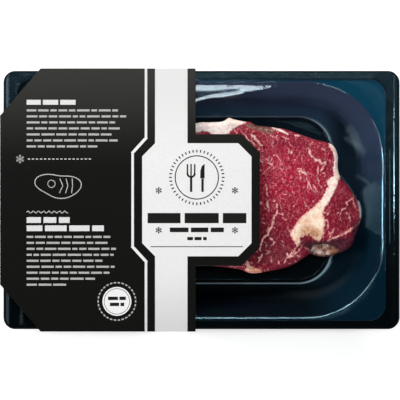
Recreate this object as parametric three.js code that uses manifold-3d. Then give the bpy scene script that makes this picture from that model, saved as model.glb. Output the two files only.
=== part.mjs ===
// A vacuum skin pack: a steak on a thermoformed tray, under clear film drawn tight,
// in a printed card sleeve that covers the left half and carries a label flap.
// Millimetres, +Z up, +X to the right and +Y away from the reader of the label.
// The origin is the centre of the pack's footprint, on the surface it stands on.
import * as THREE from "three";
import { mergeVertices } from "three/addons/utils/BufferGeometryUtils.js";
import Module from "manifold-3d";

const wasm = await Module();
wasm.setup();

// Driving sizes
const gap = 0.3; // clearance between neighbouring pieces
const tray = { length: 250, width: 163, corner: 7.5, wall: 0.9, flangeTop: 24.6 };
const flange = { end: 10, side: 6.4, corner: 9.3, lipDrop: 1.8, round: 0.7, panelDrop: 0.8 };
const well = {
  corner: 47,
  endInset: 0.7, // from the panel's edge to the well's rim
  sideInset: 1.5,
  rim: [[0, 0], [1.2, 0.5], [2.8, 2.2]], // inset from the rim, and drop below the panel
  foot: [[11, 3.6], [13.2, 1.2], [16.5, 0]], // inset from the rim, and height above the ledge
  ledgeHeight: 5.2,
};
const floor = { halfLength: 83.9, halfWidth: 53.3, corner: 21, stepWidth: 1.2, stepHeight: 2 };
const steak = { centre: [21.5, 1], thickness: 18, shoulder: 3.4, sideBulge: 0.42, undercut: 1.2 };
const film = { thickness: 0.25, skirt: 3.2, overSteak: 0.6, besideSteak: 0.9, fromLedge: 1.5, rimInset: 0.3 };
const card = {
  thickness: 0.6,
  sideOverhang: 1.4, // how far each folded edge stands outside the tray's edge
  endOverhang: 1.9,
  taper: 3.9, // how much narrower the sleeve is at its foot, on each side
  endTaper: 3.5,
  rightEdge: -3.7,
  cutLength: 25.5, // the corner cut, along the long edge
  cutEndHalf: 53.2, // half the width of the end panel left between the two cuts
};
const flap = { rightEdge: 36.8, halfWidth: 41.5, chamfer: 11.6 };

const trayBase = card.thickness + gap;
const floorTop = trayBase + tray.wall;
const panelTop = tray.flangeTop - flange.panelDrop;
const seatGap = gap + 0.15; // what hangs over the tray's bends stays a little clearer of it
const sleeveTop = tray.flangeTop + gap + film.thickness + gap + card.thickness;
const trayShiftX = card.endOverhang / 2; // the end fold stands outside the tray on the left only

// Points round a rounded rectangle. Every loop has the same count, so loops can be lofted.
const sideSteps = { long: 12, end: 6, corner: 6 };

function roundedLoop(halfX, halfY, radius) {
  const points = [];
  const corners = [
    [1, 1, 0],
    [-1, 1, 1],
    [-1, -1, 2],
    [1, -1, 3],
  ];
  corners.forEach(([sx, sy, quarter], i) => {
    const cx = sx * (halfX - radius);
    const cy = sy * (halfY - radius);
    for (let k = 0; k <= sideSteps.corner; k++) {
      const a = ((quarter + k / sideSteps.corner) * Math.PI) / 2;
      points.push([cx + radius * Math.cos(a), cy + radius * Math.sin(a)]);
    }
    const next = corners[(i + 1) % 4];
    const from = points[points.length - 1];
    const a = ((quarter + 1) * Math.PI) / 2;
    const to = [
      next[0] * (halfX - radius) + radius * Math.cos(a),
      next[1] * (halfY - radius) + radius * Math.sin(a),
    ];
    const steps = i % 2 ? sideSteps.end : sideSteps.long;
    for (let k = 1; k < steps; k++) {
      const f = k / steps;
      points.push([from[0] + f * (to[0] - from[0]), from[1] + f * (to[1] - from[1])]);
    }
  });
  return points;
}

function roundedDistance([x, y], level) {
  const qx = Math.abs(x) - (level.halfX - level.radius);
  const qy = Math.abs(y) - (level.halfY - level.radius);
  const outside = Math.hypot(Math.max(qx, 0), Math.max(qy, 0));
  return outside + Math.min(Math.max(qx, qy), 0) - level.radius;
}

// The tray's upper surface, as levels from the rim inwards
const wellHalfX = tray.length / 2 - flange.end - well.endInset;
const wellHalfY = tray.width / 2 - flange.side - well.sideInset;

function rimLevel(inset, z) {
  return {
    halfX: tray.length / 2 - inset,
    halfY: tray.width / 2 - inset,
    radius: tray.corner - inset,
    z,
  };
}

function wellLevel(inset, z) {
  return {
    halfX: wellHalfX - inset,
    halfY: wellHalfY - inset,
    radius: well.corner - inset,
    z,
  };
}

function panelLevel(inset, z) {
  return {
    halfX: tray.length / 2 - flange.end - inset,
    halfY: tray.width / 2 - flange.side - inset,
    radius: flange.corner - inset,
    z,
  };
}

function floorLevel(inset, z) {
  return {
    halfX: floor.halfLength - inset,
    halfY: floor.halfWidth - inset,
    radius: floor.corner - inset,
    z,
  };
}

const trayLevels = [
  rimLevel(0, tray.flangeTop - flange.lipDrop),
  rimLevel(0, tray.flangeTop - flange.round),
  rimLevel(flange.round, tray.flangeTop),
  panelLevel(-0.4, tray.flangeTop),
  panelLevel(0.2, panelTop),
  ...well.rim.map(([inset, drop]) => wellLevel(inset, panelTop - drop)),
  ...well.foot.map(([inset, rise]) => wellLevel(inset, well.ledgeHeight + rise)),
  floorLevel(0, floorTop + floor.stepHeight),
  floorLevel(floor.stepWidth, floorTop),
];

function trayHeight(point) {
  for (let i = 1; i < trayLevels.length; i++) {
    const inner = roundedDistance(point, trayLevels[i]);
    if (inner > 0) {
      const outer = -roundedDistance(point, trayLevels[i - 1]);
      const f = outer / (outer + inner);
      return trayLevels[i - 1].z + f * (trayLevels[i].z - trayLevels[i - 1].z);
    }
  }
  return floorTop;
}

// The same levels moved square to the surface, down for the tray's underside and up for the film
function offsetLevels(levels, distance) {
  return levels.map((level, i) => {
    const before = levels[Math.max(i - 1, 0)];
    const after = levels[Math.min(i + 1, levels.length - 1)];
    const run = before.halfY - after.halfY;
    const rise = after.z - before.z;
    const length = Math.hypot(run, rise) || 1;
    const inward = (-rise / length) * distance;
    return {
      halfX: level.halfX - inward,
      halfY: level.halfY - inward,
      radius: level.radius - inward,
      z: level.z + (run / length) * distance,
    };
  });
}

const ringOf = (level) => roundedLoop(level.halfX, level.halfY, level.radius).map(([x, y]) => [x, y, level.z]);

// Joins rings of points, from one pole to the other, into one closed surface
function loft(rings, firstPole, lastPole) {
  const count = rings[0].length;
  const position = [...firstPole];
  rings.forEach((ring) => ring.forEach((p) => position.push(...p)));
  position.push(...lastPole);
  const at = (ring, k) => 1 + ring * count + (k % count);
  const index = [];
  for (let k = 0; k < count; k++) {
    index.push(0, at(0, k), at(0, k + 1));
    for (let r = 0; r + 1 < rings.length; r++) {
      index.push(at(r, k), at(r + 1, k), at(r + 1, k + 1));
      index.push(at(r, k), at(r + 1, k + 1), at(r, k + 1));
    }
    index.push(at(rings.length - 1, k), position.length / 3 - 1, at(rings.length - 1, k + 1));
  }
  const geometry = new THREE.BufferGeometry();
  geometry.setAttribute("position", new THREE.Float32BufferAttribute(position, 3));
  geometry.setIndex(index);
  geometry.computeVertexNormals();
  return geometry;
}

function trayGeometry() {
  const upper = trayLevels.map(ringOf).reverse();
  const under = offsetLevels(trayLevels.slice(2), -tray.wall).map(ringOf);
  const lipFoot = ringOf(rimLevel(tray.wall, tray.flangeTop - flange.lipDrop));
  return loft([...upper, lipFoot, ...under], [0, 0, floorTop], [0, 0, trayBase]);
}

// The steak's outline: a closed curve through the turns that show, and a plain round left end
const steakTurns = [
  [-3.6, 48.5],
  [13.2, 49.8],
  [17.6, 52.1],
  [24, 50.4],
  [33.4, 48.6],
  [45, 46.2],
  [62.5, 41.2],
  [80.2, 36.5],
  [85.8, 31],
  [87, 20.2],
  [91, 11.4],
  [97, 3.3],
  [101, -4.6],
  [101.2, -12.2],
  [98, -21],
  [94.5, -28.2],
  [86.6, -33],
  [76.5, -35.8],
  [68.8, -33.5],
  [63.8, -38],
  [55, -42.8],
  [42.3, -45.7],
  [30.9, -46],
  [22, -43.2],
  [8.6, -41.7],
  [-20, -39.5],
  [-42, -30],
  [-56, -14],
  [-59, 6],
  [-51, 26],
  [-33, 41],
];

function steakRadii() {
  const curve = new THREE.CatmullRomCurve3(
    steakTurns.map(([x, y]) => new THREE.Vector3(x, y, 0)),
    true,
    "centripetal",
  );
  const [cx, cy] = steak.centre;
  const polar = curve
    .getSpacedPoints(600)
    .map((p) => ({ angle: Math.atan2(p.y - cy, p.x - cx), radius: Math.hypot(p.x - cx, p.y - cy) }))
    .sort((a, b) => a.angle - b.angle);
  return (angle) => {
    const next = polar.findIndex((p) => p.angle > angle);
    const b = polar[next < 0 ? 0 : next];
    const a = polar[next <= 0 ? polar.length - 1 : next - 1];
    const span = (b.angle - a.angle + 2 * Math.PI) % (2 * Math.PI);
    const f = span ? ((angle - a.angle + 2 * Math.PI) % (2 * Math.PI)) / span : 0;
    return a.radius + f * (b.radius - a.radius);
  };
}

// Swells and dents of the cut face: place, half width along x and y, height
const steakRelief = [
  { at: [71, -8], half: [13, 17], height: -1.3 }, // the fat seam sinks between the muscles
  { at: [88, -4], half: [12, 18], height: 0.9 }, // the small muscle at the tip
  { at: [76, -33], half: [12, 7], height: -5 }, // the gristle in the lower notch
  { at: [14, 46], half: [26, 8], height: -1.6 }, // the fat cap rolls down
  { at: [40, 16], half: [24, 20], height: 0.9 },
  { at: [34, -24], half: [22, 14], height: -0.8 },
  { at: [-26, 2], half: [22, 24], height: 0.6 },
];

function steakTop([x, y]) {
  const relief = steakRelief.reduce((sum, bump) => {
    const d = Math.hypot((x - bump.at[0]) / bump.half[0], (y - bump.at[1]) / bump.half[1]);
    return sum + bump.height * Math.exp(-d * d);
  }, 0);
  return floorTop + gap + steak.thickness + relief + 0.25 * Math.sin(x / 6.5) * Math.cos(y / 7.5);
}

// Rings of the steak run from its centre out along the rays to the tray's own ring points
const ledgeLevel = 10;
const ledgeRing = ringOf(trayLevels[ledgeLevel]);
const outlineRadius = steakRadii();
const rays = ledgeRing.map(([x, y]) => {
  const dx = x - steak.centre[0];
  const dy = y - steak.centre[1];
  const reach = Math.hypot(dx, dy);
  return { dx: dx / reach, dy: dy / reach, reach, radius: outlineRadius(Math.atan2(dy, dx)) };
});

const onRay = (ray, distance) => [steak.centre[0] + ray.dx * distance, steak.centre[1] + ray.dy * distance];

const faceShares = [0.17, 0.33, 0.47, 0.6, 0.72, 0.82, 0.9];
const edgeInsets = [3.6, 1.5, 0.3]; // the rounded edge, in from the outline
const edgeDrops = [0, 0.3, 1]; // as shares of the shoulder
const underShares = [0.985, 0.94, 0.86, 0.78, 0.55, 0.28];

function steakEdge(ray) {
  const inside = onRay(ray, ray.radius - edgeInsets[0]);
  return steakTop(inside);
}

function steakFaceRings(lift) {
  const face = faceShares.map((share) =>
    rays.map((ray) => {
      const p = onRay(ray, (ray.radius - edgeInsets[0]) * share);
      return [...p, steakTop(p) + lift];
    }),
  );
  const edge = edgeInsets.map((inset, i) =>
    rays.map((ray) => {
      const p = onRay(ray, ray.radius - inset + lift * 0.6 * i);
      return [...p, steakEdge(ray) - steak.shoulder * edgeDrops[i] + lift];
    }),
  );
  return [...face, ...edge];
}

// The lowest that a piece can hang at a place: clear of the tray there and for a reach to each side
function seatHeight(ray, distance, reach = 5) {
  const near = [-1, -0.5, 0, 0.5, 1].map((share) => trayHeight(onRay(ray, distance + share * reach)));
  return Math.max(...near) + seatGap;
}

function steakGeometry() {
  const side = rays.map((ray) => {
    const low = seatHeight(ray, ray.radius);
    return [...onRay(ray, ray.radius), low + steak.sideBulge * (steakEdge(ray) - steak.shoulder - low)];
  });
  const under = underShares.map((share, i) =>
    rays.map((ray) => {
      const distance = ray.radius * share;
      return [...onRay(ray, distance), seatHeight(ray, distance) + (i ? 0 : steak.undercut)];
    }),
  );
  const rings = [...steakFaceRings(0), side, ...under];
  const base = [...steak.centre, floorTop + seatGap];
  return loft(rings, [...steak.centre, steakTop(steak.centre)], base);
}

function filmRings(lift) {
  const overTray = offsetLevels(trayLevels.slice(2, ledgeLevel + 1), gap + lift).map(ringOf);
  overTray[0] = ringOf(rimLevel(flange.round + film.rimInset, tray.flangeTop + gap + lift));
  const skirts = [0.75, 0.5, 0.25, 0].map((share) =>
    rays.map((ray) => {
      const foot = Math.min(ray.radius + film.skirt, ray.reach - film.fromLedge);
      const distance = foot + share * (ray.reach - foot);
      return [...onRay(ray, distance), seatHeight(ray, distance, (ray.reach - foot) / 4 + 1) + lift];
    }),
  );
  const side = rays.map((ray) => {
    const low = seatHeight(ray, ray.radius) + lift;
    const middle = (steakEdge(ray) - steak.shoulder + low) / 2;
    return [...onRay(ray, ray.radius + film.besideSteak + lift), middle];
  });
  return [...overTray, ...skirts, side, ...steakFaceRings(film.overSteak + lift).reverse()];
}

function filmGeometry() {
  const upper = filmRings(film.thickness).reverse();
  const top = steakTop(steak.centre) + film.overSteak;
  return loft([...upper, ...filmRings(0)], [...steak.centre, top + film.thickness], [...steak.centre, top]);
}

// A flat panel of card. Its outer face is given, and its thickness goes inwards.
function cardPanel(outline, inward) {
  const normal = new THREE.Vector3(...inward).normalize();
  const across = new THREE.Vector3(...outline[1]).sub(new THREE.Vector3(...outline[0])).normalize();
  const up = new THREE.Vector3().crossVectors(normal, across);
  const flatten = (p) => {
    const v = new THREE.Vector3(...p);
    return new THREE.Vector2(v.dot(across), v.dot(up));
  };
  const { isClockWise, triangulateShape } = THREE.ShapeUtils;
  // clockwise from the inside, so that the outer face looks outward
  const outer = isClockWise(outline.map(flatten)) ? outline : [...outline].reverse();
  const flat = outer.map(flatten);
  const count = outer.length;
  const inner = outer.map((p) => new THREE.Vector3(...p).addScaledVector(normal, card.thickness).toArray());
  const index = triangulateShape(flat, []).flatMap(([a, b, c]) => {
    const [u, v] = isClockWise([flat[a], flat[b], flat[c]]) ? [b, c] : [c, b];
    return [a, u, v, a + count, v + count, u + count];
  });
  for (let k = 0; k < count; k++) {
    const n = (k + 1) % count;
    index.push(n, k, k + count, n, k + count, n + count);
  }
  const geometry = new THREE.BufferGeometry();
  geometry.setAttribute("position", new THREE.Float32BufferAttribute([...outer, ...inner].flat(), 3));
  geometry.setIndex(index);
  return solidOf(geometry);
}

function solidOf(geometry) {
  const merged = mergeVertices(geometry, 1e-4);
  return new wasm.Manifold(
    new wasm.Mesh({
      numProp: 3,
      vertProperties: new Float32Array(merged.attributes.position.array),
      triVerts: new Uint32Array(merged.index.array),
    }),
  );
}

function geometryOf(solid) {
  const mesh = solid.getMesh();
  const geometry = new THREE.BufferGeometry();
  geometry.setAttribute("position", new THREE.BufferAttribute(new Float32Array(mesh.vertProperties), 3));
  geometry.setIndex(new THREE.BufferAttribute(new Uint32Array(mesh.triVerts), 1));
  geometry.computeVertexNormals();
  return geometry;
}

function sleeveGeometry() {
  const halfY = tray.width / 2 + card.sideOverhang;
  const footY = halfY - card.taper;
  const leftX = -tray.length / 2 - card.endOverhang;
  const footX = leftX + card.endTaper;
  const cutX = leftX + card.cutLength;
  const right = card.rightEdge;
  const mirror = (points) => points.map(([x, y, ...rest]) => [x, -y, ...rest]).reverse();
  const upperHalf = [
    [flap.rightEdge, flap.halfWidth - flap.chamfer],
    [flap.rightEdge - flap.chamfer, flap.halfWidth],
    [right, flap.halfWidth],
    [right, halfY],
    [cutX, halfY],
    [leftX, card.cutEndHalf],
  ];
  const faceOutline = [...upperHalf, ...mirror(upperHalf)].map((p) => [...p, sleeveTop]);
  const lowerHalf = [
    [right, footY],
    [cutX, footY],
    [footX, card.cutEndHalf],
  ];
  const footOutline = [...lowerHalf, ...mirror(lowerHalf)].map((p) => [...p, 0]);
  const longSide = [
    [right, halfY, sleeveTop],
    [cutX, halfY, sleeveTop],
    [cutX, footY, 0],
    [right, footY, 0],
  ];
  const endSide = [
    [leftX, card.cutEndHalf, sleeveTop],
    [leftX, -card.cutEndHalf, sleeveTop],
    [footX, -card.cutEndHalf, 0],
    [footX, card.cutEndHalf, 0],
  ];
  const panels = [
    cardPanel(faceOutline, [0, 0, -1]),
    cardPanel(footOutline, [0, 0, 1]),
    cardPanel(longSide, [0, -sleeveTop, card.taper]),
    cardPanel(mirror(longSide), [0, sleeveTop, card.taper]),
    cardPanel(endSide, [sleeveTop, 0, card.endTaper]),
  ];
  return geometryOf(panels.reduce((sum, panel) => sum.add(panel)));
}

const finishes = {
  tray: new THREE.MeshStandardMaterial({ color: 0x06202c, roughness: 0.22, metalness: 0 }),
  steak: new THREE.MeshStandardMaterial({ color: 0x8f2636, roughness: 0.45, metalness: 0 }),
  skin_film: new THREE.MeshStandardMaterial({
    color: 0xdfe8ee,
    roughness: 0.08,
    metalness: 0,
    transparent: true,
    opacity: 0.2,
  }),
  card_sleeve: new THREE.MeshStandardMaterial({ color: 0x1c1d1a, roughness: 0.55, metalness: 0 }),
};

function piece(name, geometry) {
  const mesh = new THREE.Mesh(geometry, finishes[name]);
  mesh.name = name;
  mesh.position.x = trayShiftX;
  return mesh;
}

const pack = new THREE.Group();
pack.add(piece("tray", trayGeometry()));
pack.add(piece("steak", steakGeometry()));
pack.add(piece("skin_film", filmGeometry()));
pack.add(piece("card_sleeve", sleeveGeometry()));

export default pack;
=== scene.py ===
import math
import random

import bmesh
import bpy
import numpy as np
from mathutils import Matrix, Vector


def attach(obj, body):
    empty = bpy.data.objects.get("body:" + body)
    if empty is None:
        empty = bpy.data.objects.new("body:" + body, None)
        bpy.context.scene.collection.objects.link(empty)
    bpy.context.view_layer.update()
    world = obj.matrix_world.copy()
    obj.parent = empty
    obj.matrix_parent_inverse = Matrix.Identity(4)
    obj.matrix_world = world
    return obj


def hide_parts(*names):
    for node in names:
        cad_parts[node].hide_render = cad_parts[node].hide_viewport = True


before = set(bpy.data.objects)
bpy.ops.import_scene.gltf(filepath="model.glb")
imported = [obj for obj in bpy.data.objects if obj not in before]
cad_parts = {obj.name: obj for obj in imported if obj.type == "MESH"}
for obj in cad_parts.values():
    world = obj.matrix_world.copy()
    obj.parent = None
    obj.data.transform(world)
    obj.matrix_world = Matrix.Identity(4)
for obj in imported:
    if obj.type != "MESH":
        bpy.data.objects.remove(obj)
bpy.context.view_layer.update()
mm = 0.001


# Node building: Value carries a socket through Python's own operators

class Value:
    def __init__(self, recipe, socket):
        self.recipe = recipe
        self.socket = socket

    def maths(self, operation, *others):
        return self.recipe.node("ShaderNodeMath", {"operation": operation}, [self, *others])

    def __add__(self, other):
        return self.maths("ADD", other)

    def __sub__(self, other):
        return self.maths("SUBTRACT", other)

    def __mul__(self, other):
        return self.maths("MULTIPLY", other)

    def __truediv__(self, other):
        return self.maths("DIVIDE", other)

    def __rsub__(self, other):
        return (self * -1) + other

    def __lt__(self, other):
        return self.maths("LESS_THAN", other)

    def __gt__(self, other):
        return self.maths("GREATER_THAN", other)

    def __abs__(self):
        return self.maths("ABSOLUTE")

    __radd__ = __add__
    __rmul__ = __mul__

    def least(self, other):
        return self.maths("MINIMUM", other)

    def most(self, other):
        return self.maths("MAXIMUM", other)

    def between(self, low, high):
        # 0 below low, 1 above high, eased in the middle
        limits = {"Value": self, "From Min": low, "From Max": high}
        return self.recipe.node("ShaderNodeMapRange", {"interpolation_type": "SMOOTHSTEP"}, limits)


class Recipe:
    # one node tree under construction
    def __init__(self, tree):
        self.tree = tree

    def node(self, kind, settings=None, values=None, out=0):
        made = self.tree.nodes.new(kind)
        for name, setting in (settings or {}).items():
            if name == "stops":
                fillRamp(made.color_ramp, setting)
            else:
                setattr(made, name, setting)
        pairs = enumerate(values) if isinstance(values, list) else (values or {}).items()
        for key, value in pairs:
            socket = made.inputs[key]
            if isinstance(value, Value):
                self.tree.links.new(value.socket, socket)
            else:
                socket.default_value = value
        if isinstance(out, tuple):
            return [Value(self, made.outputs[name]) for name in out]
        return Value(self, made.outputs[out])

    def axes(self, place):
        return self.node("ShaderNodeSeparateXYZ", None, {"Vector": place}, out=("X", "Y", "Z"))


class Finish(Recipe):
    # one material
    def __init__(self, name):
        self.material = bpy.data.materials.new(name)
        self.material.use_nodes = True
        super().__init__(self.material.node_tree)
        self.tree.nodes.clear()

    def place(self, scale=(1, 1, 1), turn=(0, 0, 0)):
        # object coordinates in millimetres, turned and stretched for one pattern
        spot = self.node("ShaderNodeTexCoord", out="Object")
        size = tuple(1000 * s for s in scale)
        return self.node("ShaderNodeMapping", None, {"Vector": spot, "Scale": size, "Rotation": turn})

    def noise(self, place, scale, detail=3.0, roughness=0.55, distortion=0.0):
        values = {"Scale": scale, "Detail": detail, "Roughness": roughness, "Distortion": distortion}
        return self.node("ShaderNodeTexNoise", None, {"Vector": place, **values})

    def attribute(self, name):
        return self.node("ShaderNodeAttribute", {"attribute_name": name}, out="Fac")

    def ramp(self, factor, *stops):
        return self.node("ShaderNodeValToRGB", {"stops": stops}, {"Fac": factor})

    def blend(self, factor, first, second):
        # sockets 0, 6 and 7 of the colour mix are its factor and its two colours
        colours = {0: factor, 6: painted(first), 7: painted(second)}
        return self.node("ShaderNodeMix", {"data_type": "RGBA"}, colours, out=2)

    def bump(self, height, distance, strength=1.0):
        values = {"Height": height, "Distance": distance, "Strength": strength}
        return self.node("ShaderNodeBump", None, values)

    def surface(self, values):
        return self.node("ShaderNodeBsdfPrincipled", None, values)

    def done(self, shader):
        output = self.tree.nodes.new("ShaderNodeOutputMaterial")
        self.tree.links.new(shader.socket, output.inputs["Surface"])
        return self.material


class Layout(Recipe):
    # one Geometry Nodes tree with named sizes
    def __init__(self, name, kinds):
        super().__init__(bpy.data.node_groups.new(name, "GeometryNodeTree"))
        self.keys = {}
        for size, kind in kinds.items():
            self.keys[size] = self.socket(size, "INPUT", kind).identifier
        self.socket("Geometry", "OUTPUT", "Geometry")
        self.entry = self.tree.nodes.new("NodeGroupInput")

    def socket(self, name, way, kind):
        return self.tree.interface.new_socket(name=name, in_out=way, socket_type="NodeSocket" + kind)

    def given(self, name):
        return Value(self, self.entry.outputs[name])

    def row(self, axis):
        # points one pitch apart along the axis
        offset = self.node("ShaderNodeCombineXYZ", None, {axis: self.given("Pitch")})
        values = {"Count": self.given("Count"), "Start Location": self.given("Start"), "Offset": offset}
        return self.node("GeometryNodeMeshLine", {"mode": "OFFSET"}, values)

    def plate(self):
        # one flat bar
        values = {"Size X": self.given("Length"), "Size Y": self.given("Width")}
        return self.node("GeometryNodeMeshGrid", None, {**values, "Vertices X": 2, "Vertices Y": 2})

    def done(self, points, shape, material, placing=None):
        # the shape on every point
        values = {"Points": points, "Instance": shape, **(placing or {})}
        instances = self.node("GeometryNodeInstanceOnPoints", None, values)
        real = self.node("GeometryNodeRealizeInstances", None, [instances])
        painted = self.node("GeometryNodeSetMaterial", None, {"Geometry": real, "Material": material})
        output = self.tree.nodes.new("NodeGroupOutput")
        self.tree.links.new(painted.socket, output.inputs[0])

    def grow(self, name, sizes):
        # evaluates the tree and keeps its result as a plain mesh
        seed = bpy.data.objects.new(name + "Seed", bpy.data.meshes.new(name + "Seed"))
        bpy.context.scene.collection.objects.link(seed)
        modifier = seed.modifiers.new("layout", "NODES")
        modifier.node_group = self.tree
        for size, value in sizes.items():
            modifier[self.keys[size]] = value
        depsgraph = bpy.context.evaluated_depsgraph_get()
        depsgraph.update()
        mesh = bpy.data.meshes.new_from_object(seed.evaluated_get(depsgraph))
        bpy.data.objects.remove(seed)
        mesh.name = name
        piece = bpy.data.objects.new(name, mesh)
        bpy.context.scene.collection.objects.link(piece)
        return piece


def fillRamp(ramp, stops):
    while len(ramp.elements) < len(stops):
        ramp.elements.new(1.0)
    for element, (position, colour) in zip(ramp.elements, stops):
        element.position = position
        element.color = painted(colour)


def painted(colour):
    # three levels as seen on a screen, 0 to 255, turned to light values; all else stays as it is
    if not isinstance(colour, tuple) or len(colour) != 3:
        return colour

    def light(level):
        share = level / 255
        return share / 12.92 if share <= 0.04045 else ((share + 0.055) / 1.055) ** 2.4

    return (*(light(level) for level in colour), 1.0)


# Mesh building

def addPiece(name, points, faces, material, smooth=True, marks=None):
    # points in millimetres; marks are values per point that the material reads
    mesh = bpy.data.meshes.new(name)
    mesh.from_pydata([tuple(p) for p in np.asarray(points, float) * mm], [], faces)
    mesh.update()
    for label, values in (marks or {}).items():
        attribute = mesh.attributes.new(label, "FLOAT", "POINT")
        attribute.data.foreach_set("value", np.asarray(values, np.float32))
    mesh.polygons.foreach_set("use_smooth", [smooth] * len(mesh.polygons))
    piece = bpy.data.objects.new(name, mesh)
    bpy.context.scene.collection.objects.link(piece)
    piece.data.materials.append(material)
    return piece


def ringFaces(ringCount, perRing, firstPole=None, lastPole=None):
    # quads between neighbouring rings, and a fan at each pole
    faces = []
    for r in range(ringCount - 1):
        for k in range(perRing):
            n = (k + 1) % perRing
            a, b = r * perRing, (r + 1) * perRing
            faces.append((a + k, b + k, b + n, a + n))
    for k in range(perRing):
        n = (k + 1) % perRing
        if firstPole is not None:
            faces.append((firstPole, k, n))
        if lastPole is not None:
            last = (ringCount - 1) * perRing
            faces.append((lastPole, last + n, last + k))
    return faces


def roundedLoop(halfX, halfY, radius, steps):
    # points round a rounded rectangle; loops of the same steps can be lofted
    points = []
    corners = [(1, 1), (-1, 1), (-1, -1), (1, -1)]
    for i, (sx, sy) in enumerate(corners):
        cx, cy = sx * (halfX - radius), sy * (halfY - radius)
        for k in range(steps["corner"] + 1):
            a = (i + k / steps["corner"]) * math.pi / 2
            points.append((cx + radius * math.cos(a), cy + radius * math.sin(a)))
        nx, ny = corners[(i + 1) % 4]
        a = (i + 1) * math.pi / 2
        start = np.array(points[-1])
        nextX, nextY = nx * (halfX - radius), ny * (halfY - radius)
        stop = np.array([nextX + radius * math.cos(a), nextY + radius * math.sin(a)])
        count = steps["end"] if i % 2 else steps["long"]
        points += [tuple(start + (stop - start) * k / count) for k in range(1, count)]
    return np.array(points)


def roundedDistance(places, level):
    # how far each place lies outside a rounded rectangle, negative inside
    halfX, halfY, radius = level[:3]
    q = np.abs(places) - (np.array([halfX, halfY]) - radius)
    return np.hypot(*np.maximum(q, 0).T) + np.minimum(q.max(1), 0) - radius


def swell(places, bumps):
    # sum of soft round swellings: (x, y, half width x, half width y, height)
    total = np.zeros(len(places))
    for x, y, halfX, halfY, height in bumps:
        d = ((places[:, 0] - x) / halfX) ** 2 + ((places[:, 1] - y) / halfY) ** 2
        total += height * np.exp(-d)
    return total


# The tray: levels of rounded rectangles from the lip inwards, as (half length, half width, corner, height)

tray = {
    "centreX": 0.95,
    "length": 250.0,
    "width": 163.0,
    "corner": 7.5,
    "wall": 0.9,
    "flangeTop": 24.6,
    "lipDrop": 1.8,
    "curlSteps": 9,
    "curl": (1.8, 1.3),  # how far in the lip starts to curl down, at the short ends and the long sides
    "bead": (3.0, 5.9),  # a low straight bead runs along each end, between these distances from it
    "beadHeight": 0.4,
    "flangeEnd": 10.0,
    "flangeSide": 6.4,
    "panelCorner": 9.3,
    "panelDrop": 0.8,
    "wellCorner": 49.0,
    "ledgeInset": 16.5,
    "ledgeHeight": 5.2,
    "floorHalf": (82.6, 53.3),
    "floorCorner": 21.0,
    "floorTop": 1.8,
    # how far each bend is rounded: panel top and foot, rim, wall top and foot, ledge, step top and foot,
    # and the floor, which isn't
    "bends": [0.3, 0.3, 0.0, 2.8, 2.6, 1.6, 1.25, 1.25, 0.0],
    "steps": {"long": 40, "end": 26, "corner": 24},
}


def span(a, b):
    return max(math.hypot(a[1] - b[1], a[3] - b[3]), 1e-6)


def trayLevelsOf(t, bends):
    # levels, and a zone for each: 0 flange, 1 to 3 panel, 3 to 4 rim, 4 to 5 wall foot, 6 to 8 floor step
    halfX, halfY, top = t["length"] / 2, t["width"] / 2, t["flangeTop"]
    panelTop = top - t["panelDrop"]
    wellX, wellY = halfX - t["flangeEnd"], halfY - t["flangeSide"] - 0.1

    def rim(insetX, insetY, z):
        return (halfX - insetX, halfY - insetY, t["corner"] - (insetX + insetY) / 2, z)

    def panel(inset, z):
        halves = (halfX - t["flangeEnd"] - inset, halfY - t["flangeSide"] - inset)
        return (*halves, t["panelCorner"] - inset, z)

    def well(inset, z):
        return (wellX - inset, wellY - inset, t["wellCorner"] - inset, z)

    def bottom(inset, z):
        return (t["floorHalf"][0] - inset, t["floorHalf"][1] - inset, t["floorCorner"] - inset, z)

    levels = []
    for a in np.linspace(0, math.pi / 2, t["curlSteps"]):
        reach = 1 - math.cos(a)
        height = top - t["lipDrop"] * (1 - math.sin(a))
        levels.append(rim(reach * t["curl"][0], reach * t["curl"][1], height))
    levels += [rim(inset, inset * 0.5, top) for inset in np.linspace(*t["bead"], 11)]
    levels = [np.array(level) for level in levels]
    corners = [np.array(level) for level in (
        panel(-0.9, top),
        panel(-0.5, panelTop),
        well(-0.4, panelTop - 0.02),
        well(0.6, panelTop - 0.06),
        well(11.6, t["ledgeHeight"] + 3.4),
        well(t["ledgeInset"], t["ledgeHeight"]),
        bottom(0, t["floorTop"] + 2.1),
        bottom(1.3, t["floorTop"]),
        bottom(14, t["floorTop"]),
    )]
    zones = [0.0] * len(levels)
    for i, (here, reach) in enumerate(zip(corners, bends)):
        before = corners[i - 1] if i else levels[-1]
        after = corners[min(i + 1, len(corners) - 1)]
        if reach:
            # a bend takes half of the way to its neighbour, or all of it where that one isn't rounded
            most = 0.5 if i == 0 or bends[i - 1] else 1
            start = here + (before - here) * min(reach / span(before, here), most)
            stop = here + (after - here) * min(reach / span(after, here), 0.5)
            for f in np.linspace(0, 1, 9):
                levels.append((1 - f) ** 2 * start + 2 * f * (1 - f) * here + f**2 * stop)
                zones.append(i + f)
        else:
            levels.append(here)
            zones.append(i + 0.5)
    return levels, zones


trayLevels, trayZones = trayLevelsOf(tray, tray["bends"])
flangeCount = trayZones.count(0.0) - 1


def trayHeight(places):
    # height of the tray's upper face at places given from the tray's own centre
    inside = [-roundedDistance(places, level) for level in trayLevels]
    height = np.full(len(places), trayLevels[-1][3])
    done = np.zeros(len(places), bool)
    for i in range(1, len(trayLevels)):
        here = (inside[i] < 0) & ~done
        outer, inner = inside[i - 1][here], -inside[i][here]
        f = outer / np.maximum(outer + inner, 1e-6)
        height[here] = trayLevels[i - 1][3] + f * (trayLevels[i][3] - trayLevels[i - 1][3])
        done |= here
    return height


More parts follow.
